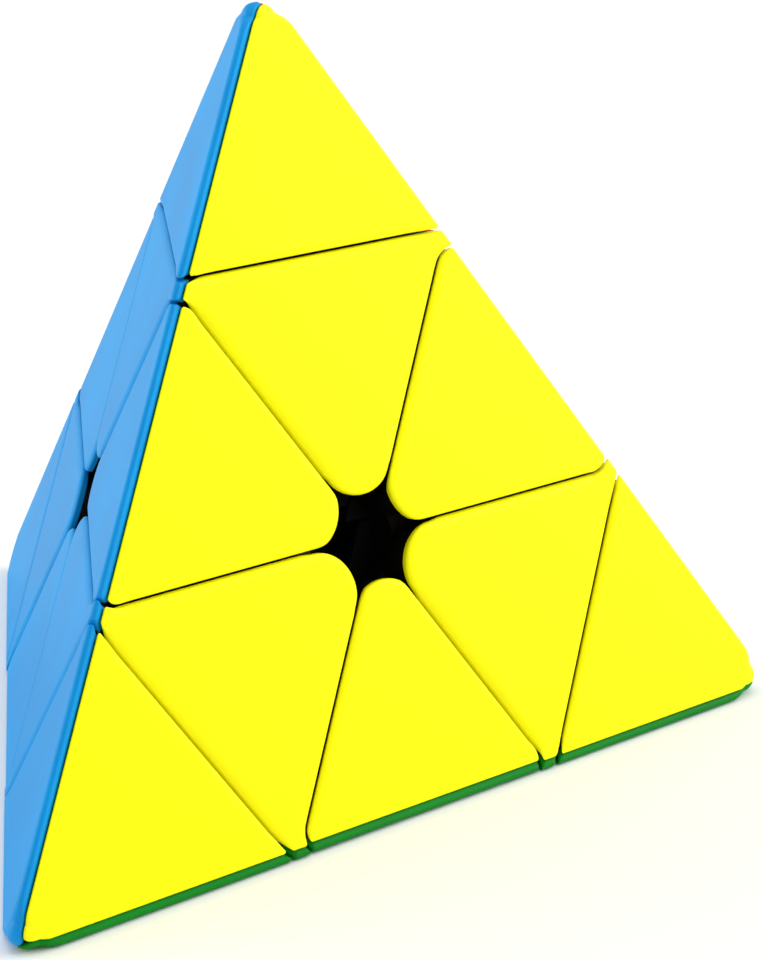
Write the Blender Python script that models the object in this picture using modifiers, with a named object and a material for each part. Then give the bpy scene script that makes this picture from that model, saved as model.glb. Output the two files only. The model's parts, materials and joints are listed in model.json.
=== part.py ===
"""Pyramid twisty puzzle: a four-axis tetrahedral puzzle in separate pieces.

A dark core carries four screws and springs. Each screw holds one axial piece, which turns about
the line from the centre through its corner of the pyramid. Six edge pieces are trapped between
the axial pieces by a foot that reaches under them, and a tip snaps into the top of each axial
piece. The coloured faces are hollow caps over the dark bodies. The origin is the centre of the
core, where the four axes meet, and the pyramid stands on its green face.
"""

import itertools
import math

import bmesh
import bpy
from mathutils import Matrix, Vector

# Driving dimensions, in metres
EDGE = 0.100  # sharp edge of the pyramid, before its edges are rounded
GAP = 0.0003  # clearance between any two pieces
FILLET = 0.0006  # radius along the six edges of the pyramid
NOSE_RADIUS = 0.0020  # ball shape of each corner
NOSE_CUT = 0.0034  # how much of the sharp corner the ball shape takes off
CAP_DEPTH = 0.0040  # how far a coloured cap reaches in from its face
CAP_WALL = 0.0014  # wall thickness of a cap
HOLE_ROUND = 0.0044  # radius of the tile ends around the hole in each face
HOLE_RADIUS = 0.0052  # the same hole through the dark bodies
HOLE_DEPTH = 0.0080
RIM_RADIUS = 0.0026  # rounding of an edge piece where three layers meet at the outside
RIM_START = 0.0344  # distance from the turning axis where that rounding starts
FOOT_SPHERE = 0.0148  # outer radius of the edge feet, hooked under the axial pieces
FOOT_CUT = 0.0052  # distance of the feet's own cut from the centre
CORE_BALL = 0.0092
TOWER_RADIUS = 0.0036
TOWER_TOP = 0.0135
SCREW_HOLE = 0.00145
SCREW_SHANK = 0.0012
SCREW_HEAD = 0.0027
SCREW_FROM = 0.0048
HEAD_FROM = 0.0243
HEAD_TOP = 0.0262
HEAD_CHAMFER = 0.0006
SLOT_WIDTH = 0.0007  # of the cross in a screw head
SLOT_LENGTH = 0.0032
SLOT_DEPTHS = (0.0011, 0.0012)
SEAT_FROM = 0.0140
SEAT_TOP = 0.0160
SPRING_RADIUS = 0.0021
SPRING_WIRE = 0.0003
SPRING_TURNS = 5
SPRING_STEPS = 8  # straight bits in one turn of a spring
CAVITY_RADIUS = 0.0033
GROOVE_RADIUS = 0.0040
GROOVE_FROM = 0.0299
GROOVE_TOP = 0.0315
STEM_RADIUS = 0.0029
STEM_FROM = 0.0280
STEM_BORE = 0.0017
STEM_SLIT = 0.0008
STEM_ROOT = 0.0010  # uncut length at the root of a stem
BEAD_RADIUS = 0.0036
BEAD_FROM = 0.0302
BEAD_WIDEST = 0.0307
BEAD_TOP = 0.0311
PEG_RADIUS = 0.0018  # peg under each cap
OVERSHOOT = 0.0020  # how far a cutting shape runs on past what it cuts

# What follows from them
HEIGHT = EDGE * math.sqrt(2 / 3)
LAYER = HEIGHT / 12  # distance from the centre to each layer's cut
TIP_CUT = 5 * LAYER
FACE = 3 * LAYER
CORNER = 9 * LAYER
HALF_EDGE_ANGLE = math.asin(1 / math.sqrt(3))  # half the angle between two faces
FILLET_REACH = FILLET / math.tan(HALF_EDGE_ANGLE)
SEAM = FILLET_REACH * math.sin(HALF_EDGE_ANGLE)
FINE = 96  # sides of the turned layer cuts
ROUND = 20  # sides of small turned pieces

CORNERS = {
    "top": Vector((0, 0, 1)),
    "left": Vector((-EDGE / 2, -EDGE / math.sqrt(12), -HEIGHT / 4)).normalized(),
    "right": Vector((EDGE / 2, -EDGE / math.sqrt(12), -HEIGHT / 4)).normalized(),
    "back": Vector((0, EDGE / math.sqrt(3), -HEIGHT / 4)).normalized(),
}
# Each face is named by its colour and lies opposite one corner
FACES = {"yellow": "back", "blue": "right", "green": "top", "red": "left"}
# Where two colours meet at an edge, the earlier one in this list wraps round it
WRAP_ORDER = ["blue", "green", "yellow", "red"]

COLOURS = {
    "yellow": (0.95, 0.87, 0.0),
    "blue": (0.02, 0.33, 0.80),
    "green": (0.02, 0.38, 0.06),
    "red": (0.70, 0.02, 0.02),
    "body": (0.012, 0.011, 0.011),
    "steel": (0.55, 0.55, 0.56),
}


def clear_scene():
    for obj in list(bpy.data.objects):
        bpy.data.objects.remove(obj, do_unlink=True)


def collection(name):
    made = bpy.data.collections.new(name)
    bpy.context.scene.collection.children.link(made)
    return made


def material(name, roughness=0.35, metallic=0.0):
    made = bpy.data.materials.new(name)
    made.use_nodes = True
    shader = made.node_tree.nodes["Principled BSDF"]
    shader.inputs["Base Color"].default_value = (*COLOURS[name], 1)
    shader.inputs["Roughness"].default_value = roughness
    shader.inputs["Metallic"].default_value = metallic
    made.diffuse_color = (*COLOURS[name], 1)
    return made


def mesh_from(bm):
    mesh = bpy.data.meshes.new("shape")
    bm.to_mesh(mesh)
    bm.free()
    return mesh


def add(name, mesh, finish, where):
    obj = bpy.data.objects.new(name, mesh)
    where.objects.link(obj)
    if finish is not None:
        mesh.materials.clear()
        mesh.materials.append(finish)
    return obj


def bm_of(mesh):
    bm = bmesh.new()
    bm.from_mesh(mesh)
    return bm


def join(mesh, others, operation):
    """One mesh after Boolean operations with each of the other meshes."""
    body = add("work", mesh.copy(), None, workshop)
    tools = []
    for other in others:
        tool = add("cutter", other, None, workshop)
        tool.hide_render = True
        tool.display_type = "WIRE"
        step = body.modifiers.new("step", "BOOLEAN")
        step.operation = operation
        step.solver = "EXACT"
        step.object = tool
        tools.append(tool)
    graph = bpy.context.evaluated_depsgraph_get()
    made = bpy.data.meshes.new_from_object(body.evaluated_get(graph))
    for obj in [body, *tools]:
        bpy.data.objects.remove(obj, do_unlink=True)
    bm = bm_of(made)
    bmesh.ops.remove_doubles(bm, verts=bm.verts, dist=1e-6)
    bmesh.ops.dissolve_limit(bm, angle_limit=math.radians(0.5), verts=bm.verts, edges=bm.edges)
    return mesh_from(bm)


def keep(mesh, cuts):
    """The part of a closed mesh with normal . point <= distance, for each (normal, distance)."""
    bm = bm_of(mesh)
    for normal, distance in cuts:
        made = bmesh.ops.bisect_plane(
            bm,
            geom=[*bm.verts, *bm.edges, *bm.faces],
            dist=1e-8,
            plane_co=normal * distance,
            plane_no=normal,
            clear_outer=True,
        )
        rim = [e for e in made["geom_cut"] if isinstance(e, bmesh.types.BMEdge)]
        if rim:
            bmesh.ops.contextual_create(bm, geom=rim)
    bmesh.ops.dissolve_degenerate(bm, dist=1e-7, edges=bm.edges)
    bmesh.ops.recalc_face_normals(bm, faces=bm.faces)
    return mesh_from(bm)


def sharp_pyramid():
    """The pyramid with sharp edges, on its green face."""
    bm = bmesh.new()
    bmesh.ops.create_cone(
        bm,
        cap_ends=True,
        segments=3,
        radius1=EDGE / math.sqrt(3),
        radius2=0,
        depth=HEIGHT,
    )
    bmesh.ops.translate(bm, verts=bm.verts, vec=(0, 0, HEIGHT / 2 - HEIGHT / 4))
    return mesh_from(bm)


def turned(profile, axis, sides):
    """A solid of revolution about an axis through the origin, from (radius, height) points.

    The profile runs down the outer side, from the top of the axis to its bottom.
    """
    mesh = bpy.data.meshes.new("profile")
    points = [(radius, 0, height) for radius, height in profile]
    mesh.from_pydata(points, [(i, i + 1) for i in range(len(points) - 1)], [])
    obj = add("turning", mesh, None, workshop)
    screw = obj.modifiers.new("turn", "SCREW")
    screw.steps = sides
    screw.render_steps = sides
    screw.use_merge_vertices = True
    screw.merge_threshold = 1e-6
    graph = bpy.context.evaluated_depsgraph_get()
    made = bpy.data.meshes.new_from_object(obj.evaluated_get(graph))
    bpy.data.objects.remove(obj, do_unlink=True)
    made.transform(turn_to(axis))
    return made


def turn_to(axis):
    """Turns +Z to the axis, with another corner of the pyramid over local +Y."""
    if axis.z > 0.999:
        return Matrix.Identity(4)
    side = Vector((0, 0, 1)).cross(axis).normalized()
    across = axis.cross(side)
    return Matrix((side, across, axis)).transposed().to_4x4()


def ball(radius):
    bm = bmesh.new()
    bmesh.ops.create_uvsphere(bm, u_segments=24, v_segments=12, radius=radius)
    return mesh_from(bm)


def rod(radius, bottom, top, axis, sides=ROUND):
    """A plain round bar along an axis through the origin."""
    return turned([(0, top), (radius, top), (radius, bottom), (0, bottom)], axis, sides)


def rounded_pyramid():
    """The whole outside: edges rounded by the fillet and corners turned to a ball shape."""
    bm = bm_of(sharp_pyramid())
    bmesh.ops.bevel(
        bm,
        geom=[*bm.edges],
        offset=FILLET_REACH,
        offset_type="OFFSET",
        segments=3,
        profile=0.5,
        affect="EDGES",
    )
    middle = CORNER - NOSE_CUT - NOSE_RADIUS
    steps = [math.radians(7.5 * i) for i in range(1, 8)]
    arc = [(NOSE_RADIUS * math.sin(a), middle + NOSE_RADIUS * math.cos(a)) for a in steps]
    out, low = arc[-1]
    wide, high = out + 2 * OVERSHOOT, CORNER + OVERSHOOT
    spread = [(wide, low - OVERSHOOT), (wide, high), (0, high)]
    profile = [(0, middle + NOSE_RADIUS), *arc, *spread]
    noses = [turned(profile[::-1], axis, ROUND) for axis in CORNERS.values()]
    return join(mesh_from(bm), noses, "DIFFERENCE")


def layer(axis, grow):
    """Everything on the corner's side of one layer cut, as a solid turned about its axis."""
    low = LAYER - grow
    arc = [math.radians(15 * i) for i in range(7)]
    bend = RIM_RADIUS + grow
    rim = [
        (RIM_START + bend * math.sin(a), LAYER + RIM_RADIUS - bend * math.cos(a)) for a in arc
    ]
    top = CORNER + OVERSHOOT
    profile = [(0, top), (rim[-1][0], top), *rim[::-1], (0, low)]
    return turned(profile, axis, FINE)


def outward(colour):
    return -CORNERS[FACES[colour]]


def seam_cut(colour, other, gap):
    """The plane that parts two colours at their shared edge, seen from the first colour."""
    across = (outward(other) - outward(colour)).normalized()
    wraps = WRAP_ORDER.index(colour) < WRAP_ORDER.index(other)
    return across, (SEAM if wraps else -SEAM) - gap / 2


def corner_fan(colour, inward, radius):
    """What lies beyond the round end of a tile, at the hole in the middle of a face."""
    normal = outward(colour)
    point = normal * FACE
    middle = point + inward * 2 * HOLE_ROUND
    across = normal.cross(inward)
    reach = 4 * HOLE_ROUND
    angles = [math.radians(-60 + 15 * i) for i in range(9)]
    ring = [-inward * math.cos(a) + across * math.sin(a) for a in angles]
    outline = [middle + v * radius for v in ring] + [middle + v * reach for v in ring[::-1]]
    return prism(outline, normal, OVERSHOOT, CAP_DEPTH + OVERSHOOT)


def prism(outline, normal, above, below):
    """A flat outline made solid, from a little above its plane to a depth below it."""
    bm = bmesh.new()
    face = bm.faces.new([bm.verts.new(p + normal * above) for p in outline])
    made = bmesh.ops.extrude_face_region(bm, geom=[face])
    moved = [v for v in made["geom"] if isinstance(v, bmesh.types.BMVert)]
    bmesh.ops.translate(bm, verts=moved, vec=-normal * (above + below))
    bmesh.ops.recalc_face_normals(bm, faces=bm.faces)
    return mesh_from(bm)


def hole_cutters():
    """The hole in the middle of each face, as it passes through the dark bodies."""
    return {
        colour: rod(HOLE_RADIUS, FACE - HOLE_DEPTH, FACE + OVERSHOOT, outward(colour))
        for colour in FACES
    }


def cut_planes(inside, outside, grow):
    """Half-spaces of one piece: beyond the cuts it is inside of, short of the others."""
    beyond = [(-CORNERS[name], -(LAYER + grow)) for name in inside]
    short = [(CORNERS[name], LAYER - grow) for name in outside]
    return beyond + short


class Piece:
    """One movable piece: the corners whose layers it belongs to, and its dark body."""

    def __init__(self, kind, names):
        self.kind = kind
        self.names = names
        self.label = "_".join(names)
        self.colours = [c for c in FACES if FACES[c] not in names]
        self.others = [c for c in CORNERS if c not in names]

    def planes(self, grow):
        axis = CORNERS[self.names[0]]
        if self.kind == "tip":
            return [(-axis, -(TIP_CUT + grow))]
        if self.kind == "edge":
            return cut_planes(self.names, [], grow)
        return cut_planes(self.names, self.others, grow) + [(axis, TIP_CUT - grow)]

    def shape(self, whole):
        """The outside shape of the piece, cut from the rounded pyramid."""
        half = GAP / 2
        if self.kind == "tip":
            return keep(whole, self.planes(half))
        if self.kind == "edge":
            layers = [layer(CORNERS[name], -half) for name in self.names]
            return join(join(whole, layers[:1], "INTERSECT"), layers[1:], "INTERSECT")
        axis = CORNERS[self.names[0]]
        rough = keep(whole, [(-axis, -(LAYER + half)), (axis, TIP_CUT - half)])
        return join(rough, [layer(CORNERS[n], half) for n in self.others], "DIFFERENCE")

    def inset(self, sharp, faces, cuts):
        """The sharp shape of the piece, shrunk from the outer faces and from the cuts."""
        planes = [(outward(c), FACE - faces) for c in self.colours]
        return keep(sharp, planes + self.planes(cuts))

    def round_ends(self, colour):
        """The direction into the tile from the hole in its face, where it reaches the hole."""
        if self.kind == "tip":
            return []
        towards = sum((CORNERS[name] for name in self.names), Vector())
        normal = outward(colour)
        return [(towards - normal * towards.dot(normal)).normalized()]

    def cap(self, colour, shape, sharp):
        """The hollow coloured cap of one face."""
        seams = [seam_cut(colour, other, GAP) for other in self.colours if other != colour]
        solid = keep(shape, [(-outward(colour), -(FACE - CAP_DEPTH))] + seams)
        hollow = self.inset(sharp, CAP_WALL, GAP / 2 + CAP_WALL)
        inner = [corner_fan(colour, v, HOLE_ROUND - CAP_WALL) for v in self.round_ends(colour)]
        if inner:
            hollow = join(hollow, inner, "DIFFERENCE")
        outer = [corner_fan(colour, v, HOLE_ROUND) for v in self.round_ends(colour)]
        if outer:
            solid = join(solid, outer, "DIFFERENCE")
        return join(solid, [hollow], "DIFFERENCE")

    def tile_centre(self, colour):
        """The middle of the tile, as a direction in the plane of its face."""
        normal = outward(colour)
        step = EDGE / math.sqrt(27)
        towards = sum((CORNERS[name] for name in self.names), Vector())
        flat = (towards - normal * towards.dot(normal)).normalized()
        reach = {"tip": 2 * step, "axial": step, "edge": step}[self.kind]
        return normal * FACE + flat * reach

    def pegs(self):
        """One peg under each cap, which holds it to the body."""
        made = []
        for colour in self.colours:
            normal = outward(colour)
            foot = self.tile_centre(colour)
            peg = rod(PEG_RADIUS, -CAP_DEPTH - OVERSHOOT, -CAP_WALL - GAP, normal, 10)
            peg.transform(Matrix.Translation(foot))
            made.append(peg)
        return made


def feet(piece):
    """The hidden foot of an edge piece, a slice of a thick ball shell."""
    grow = GAP / 2
    cuts = [(-CORNERS[name], -(FOOT_CUT + grow)) for name in piece.names]
    outer = keep(ball(FOOT_SPHERE - grow), cuts)
    return join(outer, [ball(CORE_BALL + GAP)], "DIFFERENCE")


def edge_body(piece, sharp, holes):
    block = piece.inset(sharp, CAP_DEPTH + GAP, GAP / 2)
    block = join(block, piece.pegs(), "UNION")
    block = join(block, [feet(piece)], "UNION")
    return join(block, [holes[c].copy() for c in piece.colours], "DIFFERENCE")


def axial_bore(axis):
    """The stepped bore of an axial body: core tower, seat, spring cavity and snap groove."""
    top = TIP_CUT + OVERSHOOT
    profile = [
        (0, top),
        (CAVITY_RADIUS, top),
        (CAVITY_RADIUS, GROOVE_TOP),
        (GROOVE_RADIUS, GROOVE_TOP),
        (GROOVE_RADIUS, GROOVE_FROM),
        (CAVITY_RADIUS, GROOVE_FROM),
        (CAVITY_RADIUS, SEAT_TOP),
        (SCREW_SHANK + GAP, SEAT_TOP),
        (SCREW_SHANK + GAP, SEAT_FROM),
        (TOWER_RADIUS + GAP, SEAT_FROM),
        (TOWER_RADIUS + GAP, 0),
        (0, 0),
    ]
    return turned(profile, axis, ROUND)


def axial_body(piece, sharp, holes):
    axis = CORNERS[piece.names[0]]
    block = piece.inset(sharp, CAP_DEPTH + GAP, GAP / 2)
    block = join(block, piece.pegs(), "UNION")
    pockets = [
        keep(ball(FOOT_SPHERE + GAP / 2), [(-CORNERS[n], -(FOOT_CUT - GAP / 2))])
        for n in piece.others
    ]
    block = join(block, pockets, "DIFFERENCE")
    cutters = [ball(CORE_BALL + GAP), axial_bore(axis)]
    cutters += [holes[c].copy() for c in piece.colours]
    return join(block, cutters, "DIFFERENCE")


def tip_base(piece, sharp):
    """The dark base inside a tip, with its slotted snap stem."""
    axis = CORNERS[piece.names[0]]
    block = piece.inset(sharp, CAP_DEPTH + GAP, GAP / 2)
    block = join(block, piece.pegs(), "UNION")
    root = TIP_CUT + OVERSHOOT
    stem = turned(
        [
            (0, root),
            (STEM_RADIUS, root),
            (STEM_RADIUS, BEAD_TOP),
            (BEAD_RADIUS, BEAD_TOP),
            (BEAD_RADIUS, BEAD_WIDEST),
            (STEM_RADIUS, BEAD_FROM),
            (STEM_RADIUS, STEM_FROM),
            (0, STEM_FROM),
        ],
        axis,
        ROUND,
    )
    block = join(block, [stem], "UNION")
    slit = bmesh.new()
    bmesh.ops.create_cube(slit, size=1)
    length = TIP_CUT - STEM_FROM
    bmesh.ops.scale(slit, verts=slit.verts, vec=(STEM_SLIT, 4 * BEAD_RADIUS, length))
    bmesh.ops.translate(slit, verts=slit.verts, vec=(0, 0, STEM_FROM + length / 2 - STEM_ROOT))
    bmesh.ops.transform(slit, verts=slit.verts, matrix=turn_to(axis))
    bore = rod(STEM_BORE, STEM_FROM - STEM_ROOT, TIP_CUT - STEM_ROOT, axis, 12)
    return join(block, [bore, mesh_from(slit)], "DIFFERENCE")


def core():
    """The ball with four screw towers that everything turns on."""
    block = ball(CORE_BALL)
    towers = [rod(TOWER_RADIUS, CORE_BALL / 4, TOWER_TOP, axis) for axis in CORNERS.values()]
    block = join(block, towers, "UNION")
    low, high = SCREW_FROM - GAP, TOWER_TOP + OVERSHOOT
    bores = [rod(SCREW_HOLE, low, high, axis, 12) for axis in CORNERS.values()]
    return join(block, bores, "DIFFERENCE")


def screw(axis):
    profile = [
        (0, HEAD_TOP),
        (SCREW_HEAD - HEAD_CHAMFER, HEAD_TOP),
        (SCREW_HEAD, HEAD_TOP - HEAD_CHAMFER),
        (SCREW_HEAD, HEAD_FROM),
        (SCREW_SHANK, HEAD_FROM),
        (SCREW_SHANK, SCREW_FROM + 2 * HEAD_CHAMFER),
        (0, SCREW_FROM),
    ]
    body = turned(profile, axis, 16)
    slots = []
    for turn, depth in zip((0, math.pi / 2), SLOT_DEPTHS):
        slot = bmesh.new()
        bmesh.ops.create_cube(slot, size=1)
        bmesh.ops.scale(slot, verts=slot.verts, vec=(SLOT_WIDTH, SLOT_LENGTH, 2 * depth))
        place = turn_to(axis) @ Matrix.Translation((0, 0, HEAD_TOP)) @ Matrix.Rotation(turn, 4, "Z")
        bmesh.ops.transform(slot, verts=slot.verts, matrix=place)
        slots.append(mesh_from(slot))
    return join(body, slots, "DIFFERENCE")


def spring(axis):
    """A coil spring between the seat and the screw head."""
    low = SEAT_TOP + GAP + SPRING_WIRE
    high = HEAD_FROM - GAP - SPRING_WIRE
    count = SPRING_TURNS * SPRING_STEPS
    curve = bpy.data.curves.new("coil", "CURVE")
    curve.dimensions = "3D"
    curve.bevel_depth = SPRING_WIRE
    curve.bevel_resolution = 0
    curve.use_fill_caps = True
    line = curve.splines.new("POLY")
    line.points.add(count)
    for i, point in enumerate(line.points):
        angle = 2 * math.pi * i / SPRING_STEPS
        height = low + (high - low) * i / count
        point.co = (SPRING_RADIUS * math.cos(angle), SPRING_RADIUS * math.sin(angle), height, 1)
    obj = bpy.data.objects.new("coil", curve)
    workshop.objects.link(obj)
    graph = bpy.context.evaluated_depsgraph_get()
    made = bpy.data.meshes.new_from_object(obj.evaluated_get(graph))
    bpy.data.objects.remove(obj, do_unlink=True)
    bm = bm_of(made)
    bmesh.ops.remove_doubles(bm, verts=bm.verts, dist=1e-6)
    bmesh.ops.transform(bm, verts=bm.verts, matrix=turn_to(axis))
    return mesh_from(bm)


def smooth(obj):
    obj.data.shade_smooth()
    obj.data.set_sharp_from_angle(angle=math.radians(28))


clear_scene()
workshop = collection("cutters")
puzzle = collection("pyramid_puzzle")
finishes = {name: material(name) for name in ("yellow", "blue", "green", "red")}
finishes["body"] = material("body", 0.5)
finishes["steel"] = material("steel", 0.3, 1.0)

sharp_shape = sharp_pyramid()
whole_shape = rounded_pyramid()
face_holes = hole_cutters()

smooth(add("core", core(), finishes["body"], puzzle))
for corner, direction in CORNERS.items():
    smooth(add(f"axial_screw_{corner}", screw(direction), finishes["steel"], puzzle))
    smooth(add(f"axial_spring_{corner}", spring(direction), finishes["steel"], puzzle))

pieces = [Piece("axial", [name]) for name in CORNERS]
pieces += [Piece("tip", [name]) for name in CORNERS]
pieces += [Piece("edge", list(pair)) for pair in itertools.combinations(CORNERS, 2)]
for piece in pieces:
    outside = piece.shape(whole_shape)
    for hue in piece.colours:
        cover = piece.cap(hue, outside, sharp_shape)
        smooth(add(f"{piece.kind}_cap_{piece.label}_{hue}", cover, finishes[hue], puzzle))
    if piece.kind == "tip":
        inner = tip_base(piece, sharp_shape)
    elif piece.kind == "axial":
        inner = axial_body(piece, sharp_shape, face_holes)
    else:
        inner = edge_body(piece, sharp_shape, face_holes)
    label = "base" if piece.kind == "tip" else "body"
    smooth(add(f"{piece.kind}_{label}_{piece.label}", inner, finishes["body"], puzzle))
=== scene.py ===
import json
import math

import bmesh
import bpy
import numpy as np
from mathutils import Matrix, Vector

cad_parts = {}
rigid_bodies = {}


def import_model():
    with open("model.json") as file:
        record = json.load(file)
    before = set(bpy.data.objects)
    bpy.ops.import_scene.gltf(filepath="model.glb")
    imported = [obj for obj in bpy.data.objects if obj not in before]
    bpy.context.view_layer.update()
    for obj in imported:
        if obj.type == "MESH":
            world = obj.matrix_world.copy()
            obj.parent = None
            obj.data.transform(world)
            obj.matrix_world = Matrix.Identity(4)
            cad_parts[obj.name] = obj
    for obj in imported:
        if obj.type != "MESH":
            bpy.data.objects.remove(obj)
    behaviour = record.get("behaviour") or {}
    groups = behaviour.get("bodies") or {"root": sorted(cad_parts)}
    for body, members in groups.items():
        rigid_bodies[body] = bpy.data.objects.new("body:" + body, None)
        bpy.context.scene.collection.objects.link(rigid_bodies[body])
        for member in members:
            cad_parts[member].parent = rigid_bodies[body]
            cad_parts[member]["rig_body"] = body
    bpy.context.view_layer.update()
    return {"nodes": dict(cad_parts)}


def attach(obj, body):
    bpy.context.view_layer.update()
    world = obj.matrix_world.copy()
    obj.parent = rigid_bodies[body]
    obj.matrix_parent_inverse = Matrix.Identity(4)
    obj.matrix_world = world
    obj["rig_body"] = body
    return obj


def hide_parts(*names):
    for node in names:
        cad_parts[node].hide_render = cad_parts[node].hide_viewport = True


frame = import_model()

# The puzzle's driving dimensions, in metres
EDGE = 0.100  # sharp edge of the pyramid, before it is rounded
GAP = 0.00034  # clearance seen between two tiles
SEAM_GAP = 0.00014  # clearance between two tiles of one piece
FILLET = 0.0006  # radius along the six edges of the pyramid
NOSE_RADIUS = 0.0020  # ball shape of each corner
NOSE_CUT = 0.0034  # how much of the sharp corner the ball shape takes off
CAP_DEPTH = 0.0040  # how far a coloured shell reaches in from its face
CAP_WALL = 0.0014  # wall thickness of a shell
HOLE_ROUND = 0.0044  # radius of the tile ends around the hole in each face
RIM_RADIUS = 0.0020  # rounding of an edge piece where three layers meet at the outside
RIM_START = 0.0351  # distance from the turning axis where that rounding starts
RIM_WIDTH = 0.0009  # a tile falls away over this width towards its neighbours
RIM_FALL = 0.00042  # and by this depth
RIM_FADE = 0.0035  # both shrink within this distance of the pyramid's own edges
RIM_LEAST = 0.3  # to this share
EDGE_SET = 0.00012  # how much lower the loose edge pieces sit than their neighbours
SEAM_RIM = 0.0003  # moulded radius along a tile's seams
TILE_CORNER = 0.0003  # radius at its corners, seen from the front
LAPPED_CORNER = 0.0005  # the same where another colour wraps round the edge beside it
NOSE_BLEND = 0.0004  # softens the rim of each domed corner
SHOULDER = 0.8  # of the ball's radius: a cone carries on from there, so that the rim stays soft
HOLE_SPREAD = math.radians(30)  # half the angle by which a tile widens away from its hole
HOLE_EASE = 0.3  # how fast the wall round the hole gives way to the tile's own sides
PAINTED_SHADE_DEPTH = 0.0009  # below this depth a tile's walls are black: painted shade for its deep gaps and hole, whose real walls keep the tile's colour
PAINTED_SHADE_STEP = 0.00005  # how far the walls stand back where that painted shade begins

# How finely the tiles are drawn
SKIN_STEP = np.array([0.0002, 0.0002, 0.00012])  # spacing of a surface's points
PROBE = SKIN_STEP.min() / 20  # step that feels which way a field grows
SETTLE_ROUNDS = 3  # how often the points are moved on to the surface
LEAST_STEEPNESS = 0.3  # keeps those moves short where a field is nearly level
FLAT_ANGLE = math.radians(0.4)  # faces that meet at less than this become one
ROOM = 0.0012  # space left around a tile's outline
LAYERS_OF_ROOM = 3  # and above and below it, in steps

# The studio, in metres and watts
FLOOR_REACH = 0.8  # from the middle of the floor to each side
FLOOR_DROP = 0.00005  # keeps the floor clear of the green tiles that rest on it
FLOOR_CORNERS = ((-1, -1), (1, -1), (1, 1), (-1, 1))
WORLD_LIGHT = 0.5  # of the studio overhead
HORIZON_LIGHT = 1.0  # of its pale walls, seen past the end of the floor
WALL_TOP = 0.4  # how high the walls reach, as the sine of the angle above level
BOX_SIZE = 0.9  # side of a lamp
BOX_DISTANCE = 1.2  # from the puzzle's centre
SOFTBOXES = {
    "key_right": ((0.75, -0.45, 0.5), 6.8),
    "key_back": ((-0.65, 0.75, 0.15), 5.8),
    "top": ((0.1, 0.1, 1), 2.4),
}
CAMERA_AT = Vector((-0.14518, -0.20918, 0.10070))
CAMERA_LOOKS = Vector((0.57214, 0.74414, -0.34485))
SENSOR = 36  # mm, the longer side of the frame
FOCAL_LENGTH = 95.71125  # mm
NEAREST_SEEN = 0.01

# What follows from them
HEIGHT = EDGE * math.sqrt(2 / 3)
LAYER = HEIGHT / 12  # distance from the centre to each layer's cut
TIP_CUT = 5 * LAYER
FACE = 3 * LAYER
CORNER = 9 * LAYER
SEAM = FILLET * math.sqrt(2 / 3)  # how far a seam lies from the middle of its edge
SLANT = -1 / 3  # cosine between the outward directions of two faces

CORNERS = {
    "top": (0, 0, 1),
    "left": (-math.sqrt(2 / 3), -math.sqrt(2) / 3, -1 / 3),
    "right": (math.sqrt(2 / 3), -math.sqrt(2) / 3, -1 / 3),
    "back": (0, 2 * math.sqrt(2) / 3, -1 / 3),
}
CORNERS = {name: np.array(direction, float) for name, direction in CORNERS.items()}
# Each face is named by its colour and lies opposite one corner
FACES = {"yellow": "back", "blue": "right", "green": "top", "red": "left"}
# Where two colours meet at an edge, the earlier one in this list wraps round it
WRAP_ORDER = ["blue", "green", "yellow", "red"]


def outward(colour):
    return -CORNERS[FACES[colour]]


def unit(vector):
    return vector / np.linalg.norm(vector)


# Fields: a field is how far points lie outside a shape, and below zero inside it


def both(first, second, radius, slant=0.0):
    """The field of what is inside two shapes, with a round edge where their surfaces meet.

    slant is the cosine of the angle between the two outward directions.
    """
    a, b = first + radius, second + radius
    reach = np.maximum(a * a + b * b - 2 * slant * a * b, 0) / (1 - slant * slant)
    at_edge = (a > slant * b) & (b > slant * a)
    return np.where(at_edge, np.sqrt(reach), np.maximum(a, b)) - radius


def layer_field(points, corner):
    """Outside one corner's layer, whose cut bends away at its rim so that it can turn."""
    axis = CORNERS[corner]
    height = points @ axis
    spread = np.linalg.norm(points - height[:, None] * axis, axis=1)
    out = spread - RIM_START
    below = LAYER + RIM_RADIUS - height
    inner = np.minimum(np.maximum(out, below), 0)
    return inner + np.hypot(np.maximum(out, 0), np.maximum(below, 0)) - RIM_RADIUS


def pyramid_field(points):
    """Outside the whole puzzle, with its edges rounded and its corners domed."""
    field = None
    for colour in FACES:
        side = points @ outward(colour) - FACE
        field = side if field is None else both(field, side, FILLET, SLANT)
    middle = CORNER - NOSE_CUT - NOSE_RADIUS
    for axis in CORNERS.values():
        height = points @ axis - middle
        spread = np.linalg.norm(points @ (np.eye(3) - np.outer(axis, axis)), axis=1)
        ball = np.hypot(height, spread) - NOSE_RADIUS
        shoulder = (spread + 2 * height) / math.sqrt(5) - SHOULDER * NOSE_RADIUS
        dome = np.where(2 * height > spread, ball, shoulder)
        field = both(field, dome, NOSE_BLEND)
    return field


def wraps(colour, other):
    """Whether the first colour reaches round the edge that it shares with the other."""
    return WRAP_ORDER.index(colour) < WRAP_ORDER.index(other)


def seam_field(points, colour, other):
    """Outside the seam between two colours of one piece, seen from the first colour."""
    across = unit(outward(other) - outward(colour))
    return points @ across - (SEAM if wraps(colour, other) else -SEAM) + SEAM_GAP / 2


def hole_end_field(points, colour, towards):
    """Outside the round end of a tile at the hole in its face."""
    normal = outward(colour)
    side = np.cross(normal, towards)
    along = points @ towards - 2 * HOLE_ROUND
    across = np.abs(points @ side)
    fan = np.hypot(along, across) - HOLE_ROUND
    cosine, sine = math.cos(HOLE_SPREAD), math.sin(HOLE_SPREAD)
    straight = across * cosine - along * sine - HOLE_ROUND
    opening = np.maximum(along * cosine + across * sine, 0)
    at_sides = across * math.tan(HOLE_SPREAD) > -along
    return np.where(at_sides, straight - HOLE_EASE * opening, fan)


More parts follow.
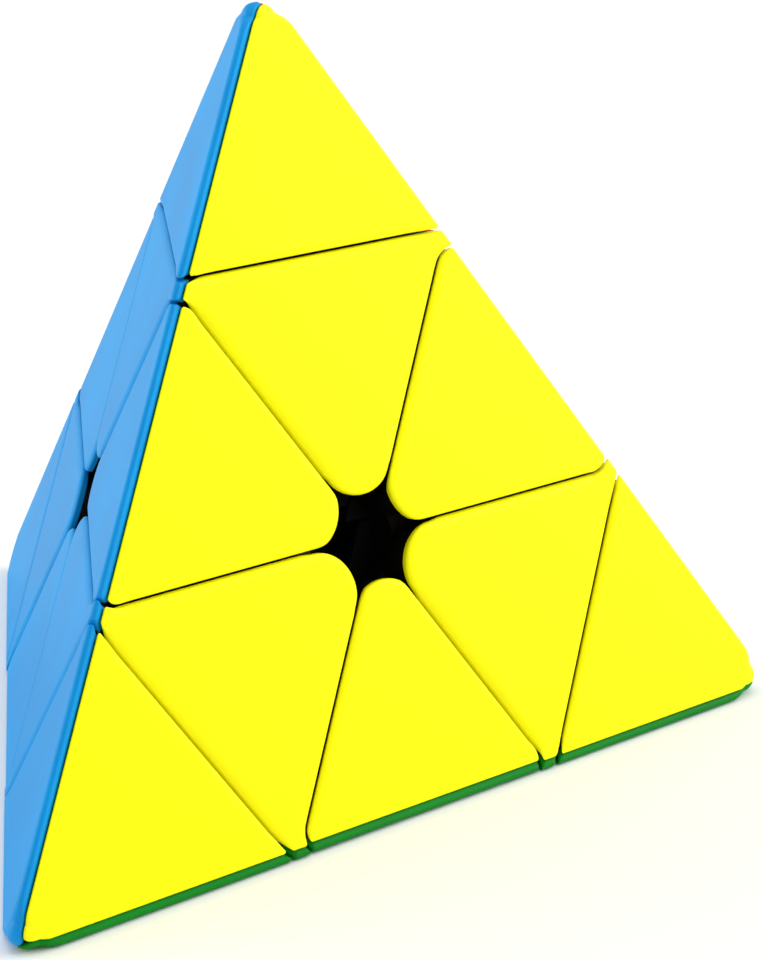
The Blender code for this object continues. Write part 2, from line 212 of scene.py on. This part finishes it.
def tile_field(points, kind, names, colour):
    """Outside the moulded shell of one tile."""
    others = [c for c in CORNERS if c not in names and c != FACES[colour]]
    if kind == "tip":
        walls = [TIP_CUT + GAP / 2 - points @ CORNERS[names[0]]]
    elif kind == "axial":
        walls = [GAP / 2 - layer_field(points, other) for other in others]
        walls.append(points @ CORNERS[names[0]] - (TIP_CUT - GAP / 2))
    else:
        walls = [layer_field(points, name) + GAP / 2 for name in names]
    beside = [c for c in FACES if c != colour and FACES[c] not in names]
    if kind != "tip":
        towards = sum(CORNERS[name] for name in names)
        normal = outward(colour)
        towards = unit(towards - normal * (towards @ normal))
        walls.append(hole_end_field(points, colour, towards))
    top = pyramid_field(points) + (EDGE_SET if kind == "edge" else 0)
    faces = [c for c in FACES if c != colour]
    from_edge = -np.max([points @ outward(other) - FACE for other in faces], axis=0)
    rim = RIM_WIDTH * np.clip(from_edge / RIM_FADE, RIM_LEAST, 1)
    # below the painted-shade depth the walls stand back a little, so the black painted shade
    # starts at a crease
    step_back = PAINTED_SHADE_STEP * np.clip((-top - PAINTED_SHADE_DEPTH) / PAINTED_SHADE_STEP, 0, 1)
    side = walls[0]
    for wall in walls[1:]:
        side = both(side, wall, TILE_CORNER)
    flat = RIM_FALL / RIM_WIDTH
    shell = both(top / flat, side + step_back, rim) * flat
    inner = np.maximum(top, side)
    for other in beside:
        seam = seam_field(points, colour, other)
        shell = both(shell, seam + step_back, SEAM_RIM)
        if wraps(other, colour):
            shell = np.maximum(shell, both(side, seam, LAPPED_CORNER))
        inner = np.maximum(inner, seam)
    bottom = -CAP_DEPTH - (points @ outward(colour) - FACE)
    return np.maximum(np.maximum(shell, bottom), -(inner + CAP_WALL))


# Skins: the closed surface where a field is zero


def downhill(field, points):
    """The field at points, and its direction of growth there."""
    steps = np.eye(3) * PROBE
    growth = [(field(points + step) - field(points - step)) / (2 * PROBE) for step in steps]
    return field(points), np.stack(growth, axis=1)


def skin(field, axes, low, high):
    """Points and faces of a field's surface inside a box turned to the given axes."""
    counts = np.ceil((high - low) / SKIN_STEP).astype(int) + 1
    ticks = [low[i] + SKIN_STEP[i] * np.arange(counts[i]) for i in range(3)]
    grid = np.stack(np.meshgrid(*ticks, indexing="ij"), axis=-1).reshape(-1, 3) @ axes
    values = field(grid).reshape(counts)
    inside = values < 0
    ends = [slice(None, -1), slice(1, None)]
    corners = [(i, j, k) for i in (0, 1) for j in (0, 1) for k in (0, 1)]
    filled = sum(inside[ends[i], ends[j], ends[k]].astype(int) for i, j, k in corners)
    cells = np.argwhere((filled > 0) & (filled < 8))
    number = np.full(counts, -1)
    number[tuple(cells.T)] = np.arange(len(cells))

    total = np.zeros((len(cells), 3))
    crossings = np.zeros(len(cells))
    for start in corners:
        for along in range(3):
            if start[along]:
                continue
            stop = np.array(start) + np.eye(3, dtype=int)[along]
            first = values[tuple((cells + start).T)]
            second = values[tuple((cells + stop).T)]
            crossed = (first < 0) != (second < 0)
            share = np.where(crossed, first / np.where(crossed, first - second, 1), 0)
            place = np.array(start) + share[:, None] * (stop - start)
            total += place * crossed[:, None]
            crossings += crossed
    points = (low + SKIN_STEP * (cells + total / crossings[:, None])) @ axes
    for _ in range(SETTLE_ROUNDS):
        value, growth = downhill(field, points)
        steepness = np.maximum((growth * growth).sum(axis=1), LEAST_STEEPNESS)
        step = (value / steepness)[:, None] * growth
        longest = np.maximum(np.linalg.norm(step, axis=1) / SKIN_STEP.max(), 1)
        points = points - step / longest[:, None]

    faces = []
    for along in range(3):
        across, up = np.eye(3, dtype=int)[(along + 1) % 3], np.eye(3, dtype=int)[(along + 2) % 3]
        here = [slice(1, -1)] * 3
        here[along] = slice(0, -1)
        there = list(here)
        there[along] = slice(1, None)
        first, second = inside[tuple(here)], inside[tuple(there)]
        shift = np.array([s.start for s in here])
        for chosen, order in ((first & ~second, 1), (second & ~first, -1)):
            at = np.argwhere(chosen) + shift
            ring = [at - across - up, at - up, at, at - across][::order]
            faces.append(np.stack([number[tuple(r.T)] for r in ring], axis=1))
    return points, np.concatenate(faces)


def thinned(points, faces):
    """The same surface with its flat stretches joined into single faces."""
    mesh = bpy.data.meshes.new("skin")
    mesh.from_pydata(points, [], faces.tolist())
    bm = bmesh.new()
    bm.from_mesh(mesh)
    bmesh.ops.dissolve_limit(bm, angle_limit=FLAT_ANGLE, verts=bm.verts, edges=bm.edges)
    bm.to_mesh(mesh)
    bm.free()
    kept = np.array([v.co for v in mesh.vertices])
    polygons = [tuple(p.vertices) for p in mesh.polygons]
    bpy.data.meshes.remove(mesh)
    return kept, polygons


def face_axes(colour, names):
    """Rows: along the tile, across it and out of its face."""
    normal = outward(colour)
    towards = sum(CORNERS[name] for name in names)
    towards = unit(towards - normal * (towards @ normal))
    return np.array([towards, np.cross(normal, towards), normal])


def even_order(first):
    """The four corners in a handed order that starts with the given ones."""
    rest = [c for c in CORNERS if c not in first]
    order = [*first, *rest]
    handed = np.linalg.det(np.array([CORNERS[c] for c in order[:3]]))
    return order if handed > 0 else [*first, *rest[::-1]]


made_shapes = {}


def tile_shape(kind, names, colour):
    """Points, faces, normals and painted-shade faces of a tile. Alike tiles are made once and
    turned into place.
    """
    own = FACES[colour]
    if kind == "edge":
        order = even_order(names)
        if order[2] != own:
            order = even_order(names[::-1])
        near = [order[3]]
    else:
        order = even_order([names[0], own])
        near = order[2:]
    colour_of = {corner: hue for hue, corner in FACES.items()}
    key = (kind, *[wraps(colour, colour_of[c]) for c in near])
    if key not in made_shapes:
        axes = face_axes(colour, names)
        side = EDGE / 3
        middle = {"tip": 2, "axial": 1, "edge": 1}[kind] * side / math.sqrt(3)
        reach = np.array([side / math.sqrt(3) + ROOM, side / 2 + ROOM, 0])
        above = LAYERS_OF_ROOM * SKIN_STEP[2]
        low = np.array([middle, 0, FACE - CAP_DEPTH - above]) - reach
        high = np.array([middle, 0, FACE + above]) + reach

        def field(points):
            return tile_field(points, kind, names, colour)

        points, faces = thinned(*skin(field, axes, low, high))
        _, growth = downhill(field, points)
        normals = growth / np.linalg.norm(growth, axis=1)[:, None]
        middles = np.array([points[list(face)].mean(axis=0) for face in faces])
        # faces deeper than the painted-shade depth take the black finish: painted shade
        painted_shade_faces = (pyramid_field(middles) < -PAINTED_SHADE_DEPTH - PAINTED_SHADE_STEP / 2).astype(int)
        base = np.array([CORNERS[c] for c in order])
        made_shapes[key] = (base, points, faces, normals, painted_shade_faces)
    base, points, faces, normals, painted_shade_faces = made_shapes[key]
    here = np.array([CORNERS[c] for c in order])
    turn = here[:3].T @ np.linalg.inv(base[:3].T)
    return points @ turn.T, faces, normals @ turn.T, painted_shade_faces


# Materials


def linear(hex_colour):
    """An sRGB hex colour as the linear values that a shader takes."""
    parts = [int(hex_colour[i : i + 2], 16) / 255 for i in (1, 3, 5)]
    return (*[p / 12.92 if p <= 0.04045 else ((p + 0.055) / 1.055) ** 2.4 for p in parts], 1)


def node(tree, kind, settings, links):
    """Adds a shader node with its settings, and links its inputs."""
    made = tree.nodes.new(kind)
    for name, value in settings.items():
        made.inputs[name].default_value = value
    for name, source in links.items():
        tree.links.new(source, made.inputs[name])
    return made


def new_finish(name):
    """An empty material, its node tree and its shader."""
    finish = bpy.data.materials.new(name)
    finish.use_nodes = True
    tree = finish.node_tree
    return finish, tree, tree.nodes["Principled BSDF"]


ABS_IOR = 1.54
ABS_FLOW = 0.014  # size of the drifts in its colour and gloss
ABS_FLOW_ENDS = (0.35, 0.65)  # where the drift is all shade and all pigment
ABS_GRAIN = 0.00025  # the mould's real grain is about 0.05 mm, too fine to show
ABS_GRAIN_DEPTH = 0.00003
ABS_GRAIN_STRENGTH = 0.25
ABS_GLOSS_DRIFT = 0.05  # each way in roughness


def moulded_abs(name, pigment, shade, roughness, specular):
    """Injection-moulded ABS, coloured right through: satin, with the spark-eroded mould's grain.

    Its colour drifts a little towards the shade where the melt flowed slower, and the same drift
    makes the gloss uneven.
    """
    finish, tree, shader = new_finish(name)
    place = node(tree, "ShaderNodeTexCoord", {}, {}).outputs["Object"]
    drifts = {"Scale": 1 / ABS_FLOW, "Detail": 2}
    flow = node(tree, "ShaderNodeTexNoise", drifts, {"Vector": place})
    grain = node(tree, "ShaderNodeTexNoise", {"Scale": 1 / ABS_GRAIN}, {"Vector": place})
    tint = node(tree, "ShaderNodeValToRGB", {}, {"Fac": flow.outputs["Fac"]})
    ends = tint.color_ramp.elements
    ends[0].position, ends[1].position = ABS_FLOW_ENDS
    ends[0].color, ends[1].color = linear(shade), linear(pigment)
    gloss = node(
        tree,
        "ShaderNodeMapRange",
        {"To Min": roughness - ABS_GLOSS_DRIFT, "To Max": roughness + ABS_GLOSS_DRIFT},
        {"Value": flow.outputs["Fac"]},
    )
    bump = node(
        tree,
        "ShaderNodeBump",
        {"Strength": ABS_GRAIN_STRENGTH, "Distance": ABS_GRAIN_DEPTH},
        {"Height": grain.outputs["Fac"]},
    )
    tree.links.new(tint.outputs["Color"], shader.inputs["Base Color"])
    tree.links.new(gloss.outputs["Result"], shader.inputs["Roughness"])
    tree.links.new(bump.outputs["Normal"], shader.inputs["Normal"])
    shader.inputs["IOR"].default_value = ABS_IOR
    shader.inputs["Specular IOR Level"].default_value = specular
    return finish


STEEL_MARK_DEPTH = 0.00002
STEEL_MARK_STRENGTH = 0.3
STEEL_GLOSS = (-0.08, 0.12)  # the marks make it this much smoother or rougher


def plated_steel(name, colour, roughness, pitch):
    """Steel with a thin plating: bright, with small marks that break its gleam."""
    finish, tree, shader = new_finish(name)
    place = node(tree, "ShaderNodeTexCoord", {}, {}).outputs["Object"]
    spots = {"Scale": 1 / pitch, "Detail": 3}
    marks = node(tree, "ShaderNodeTexNoise", spots, {"Vector": place})
    gloss = node(
        tree,
        "ShaderNodeMapRange",
        {"To Min": roughness + STEEL_GLOSS[0], "To Max": roughness + STEEL_GLOSS[1]},
        {"Value": marks.outputs["Fac"]},
    )
    bump = node(
        tree,
        "ShaderNodeBump",
        {"Strength": STEEL_MARK_STRENGTH, "Distance": STEEL_MARK_DEPTH},
        {"Height": marks.outputs["Fac"]},
    )
    tree.links.new(gloss.outputs["Result"], shader.inputs["Roughness"])
    tree.links.new(bump.outputs["Normal"], shader.inputs["Normal"])
    shader.inputs["Base Color"].default_value = linear(colour)
    shader.inputs["Metallic"].default_value = 1.0
    return finish


PAPER_TOOTH = 0.0006
PAPER_TOOTH_DEPTH = 0.00005
PAPER_TOOTH_STRENGTH = 0.1
PAPER_ROUGHNESS = 0.9
PAPER_SPECULAR = 0.2


def seamless_paper(name, colour):
    """Matt studio paper: even and pale, with a soft fibrous tooth of about half a millimetre."""
    finish, tree, shader = new_finish(name)
    place = node(tree, "ShaderNodeTexCoord", {}, {}).outputs["Object"]
    tooth = node(tree, "ShaderNodeTexNoise", {"Scale": 1 / PAPER_TOOTH}, {"Vector": place})
    bump = node(
        tree,
        "ShaderNodeBump",
        {"Strength": PAPER_TOOTH_STRENGTH, "Distance": PAPER_TOOTH_DEPTH},
        {"Height": tooth.outputs["Fac"]},
    )
    tree.links.new(bump.outputs["Normal"], shader.inputs["Normal"])
    shader.inputs["Base Color"].default_value = linear(colour)
    shader.inputs["Roughness"].default_value = PAPER_ROUGHNESS
    shader.inputs["Specular IOR Level"].default_value = PAPER_SPECULAR
    return finish


finishes = {
    "yellow": moulded_abs("moulded_abs_yellow", "#fdfa00", "#faf400", 0.45, 0.2),
    "blue": moulded_abs("moulded_abs_azure", "#009ce0", "#0092d6", 0.5, 0.25),
    "green": moulded_abs("moulded_abs_green", "#008a22", "#00821f", 0.45, 0.2),
    "red": moulded_abs("moulded_abs_red", "#e00c10", "#d8080e", 0.45, 0.2),
    # black ABS of the core, and also the painted shade on tile walls deep in the gaps and hole
    "black": moulded_abs("moulded_abs_black_and_painted_shade", "#120c08", "#0e0a07", 0.5, 0.3),
    "steel": plated_steel("zinc_plated_steel", "#c9ccd0", 0.28, 0.0008),
    "spring": plated_steel("drawn_spring_steel", "#a9a8a4", 0.22, 0.0004),
}


def add_piece(name, shape, finish):
    """A tile in its own colour near the surface and black deeper in, as painted shade in its gaps
    and hole.
    """
    points, faces, normals, painted_shade_faces = shape
    mesh = bpy.data.meshes.new(name)
    mesh.from_pydata(points, [], faces)
    mesh.shade_smooth()
    mesh.normals_split_custom_set_from_vertices(normals)
    mesh.materials.append(finish)
    # second slot: black painted shade on the deeper faces
    mesh.materials.append(finishes["black"])
    mesh.polygons.foreach_set("material_index", painted_shade_faces)
    piece = bpy.data.objects.new(name, mesh)
    bpy.context.scene.collection.objects.link(piece)
    return piece


for node_name, cad in frame["nodes"].items():
    body = cad["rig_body"]
    if "_cap_" not in node_name:
        kind = "steel" if "screw" in node_name else "spring" if "spring" in node_name else "black"
        cad.material_slots[0].material = finishes[kind]
        continue
    kind, rest = node_name.split("_cap_")
    *names, colour = rest.split("_")
    tile = add_piece(f"{kind}_tile_{rest}", tile_shape(kind, names, colour), finishes[colour])
    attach(tile, body)
    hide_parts(node_name)

# Floor, light and camera
floor_mesh = bpy.data.meshes.new("floor")
floor_mesh.from_pydata(
    [(x * FLOOR_REACH, y * FLOOR_REACH, -FACE - FLOOR_DROP) for x, y in FLOOR_CORNERS],
    [],
    [(0, 1, 2, 3)],
)
floor = bpy.data.objects.new("floor", floor_mesh)
bpy.context.scene.collection.objects.link(floor)
floor_mesh.materials.append(seamless_paper("seamless_paper", "#fbfbfb"))

world = bpy.data.worlds.new("studio")
world.use_nodes = True
backdrop = world.node_tree.nodes["Background"]
backdrop.inputs["Color"].default_value = (1, 1, 1, 1)
direction = node(world.node_tree, "ShaderNodeTexCoord", {}, {}).outputs["Generated"]
height = node(world.node_tree, "ShaderNodeSeparateXYZ", {}, {"Vector": direction})
fade = node(
    world.node_tree,
    "ShaderNodeMapRange",
    {"From Max": WALL_TOP, "To Min": HORIZON_LIGHT, "To Max": WORLD_LIGHT},
    {"Value": height.outputs["Z"]},
)
world.node_tree.links.new(fade.outputs["Result"], backdrop.inputs["Strength"])
bpy.context.scene.world = world
bpy.context.scene.view_settings.view_transform = "Standard"
bpy.context.scene.view_settings.look = "Medium High Contrast"

for name, (direction, power) in SOFTBOXES.items():
    lamp = bpy.data.lights.new(name, "AREA")
    lamp.size = BOX_SIZE
    lamp.energy = power
    softbox = bpy.data.objects.new(name, lamp)
    softbox.location = Vector(direction).normalized() * BOX_DISTANCE
    softbox.rotation_euler = softbox.location.to_track_quat("Z", "Y").to_euler()
    bpy.context.scene.collection.objects.link(softbox)

camera_data = bpy.data.cameras.new("camera")
camera = bpy.data.objects.new("camera", camera_data)
bpy.context.scene.collection.objects.link(camera)
camera.location = CAMERA_AT
camera.rotation_euler = CAMERA_LOOKS.to_track_quat("-Z", "Y").to_euler()
camera_data.sensor_width = SENSOR
camera_data.lens = FOCAL_LENGTH
camera_data.clip_start = NEAREST_SEEN
bpy.context.scene.camera = camera
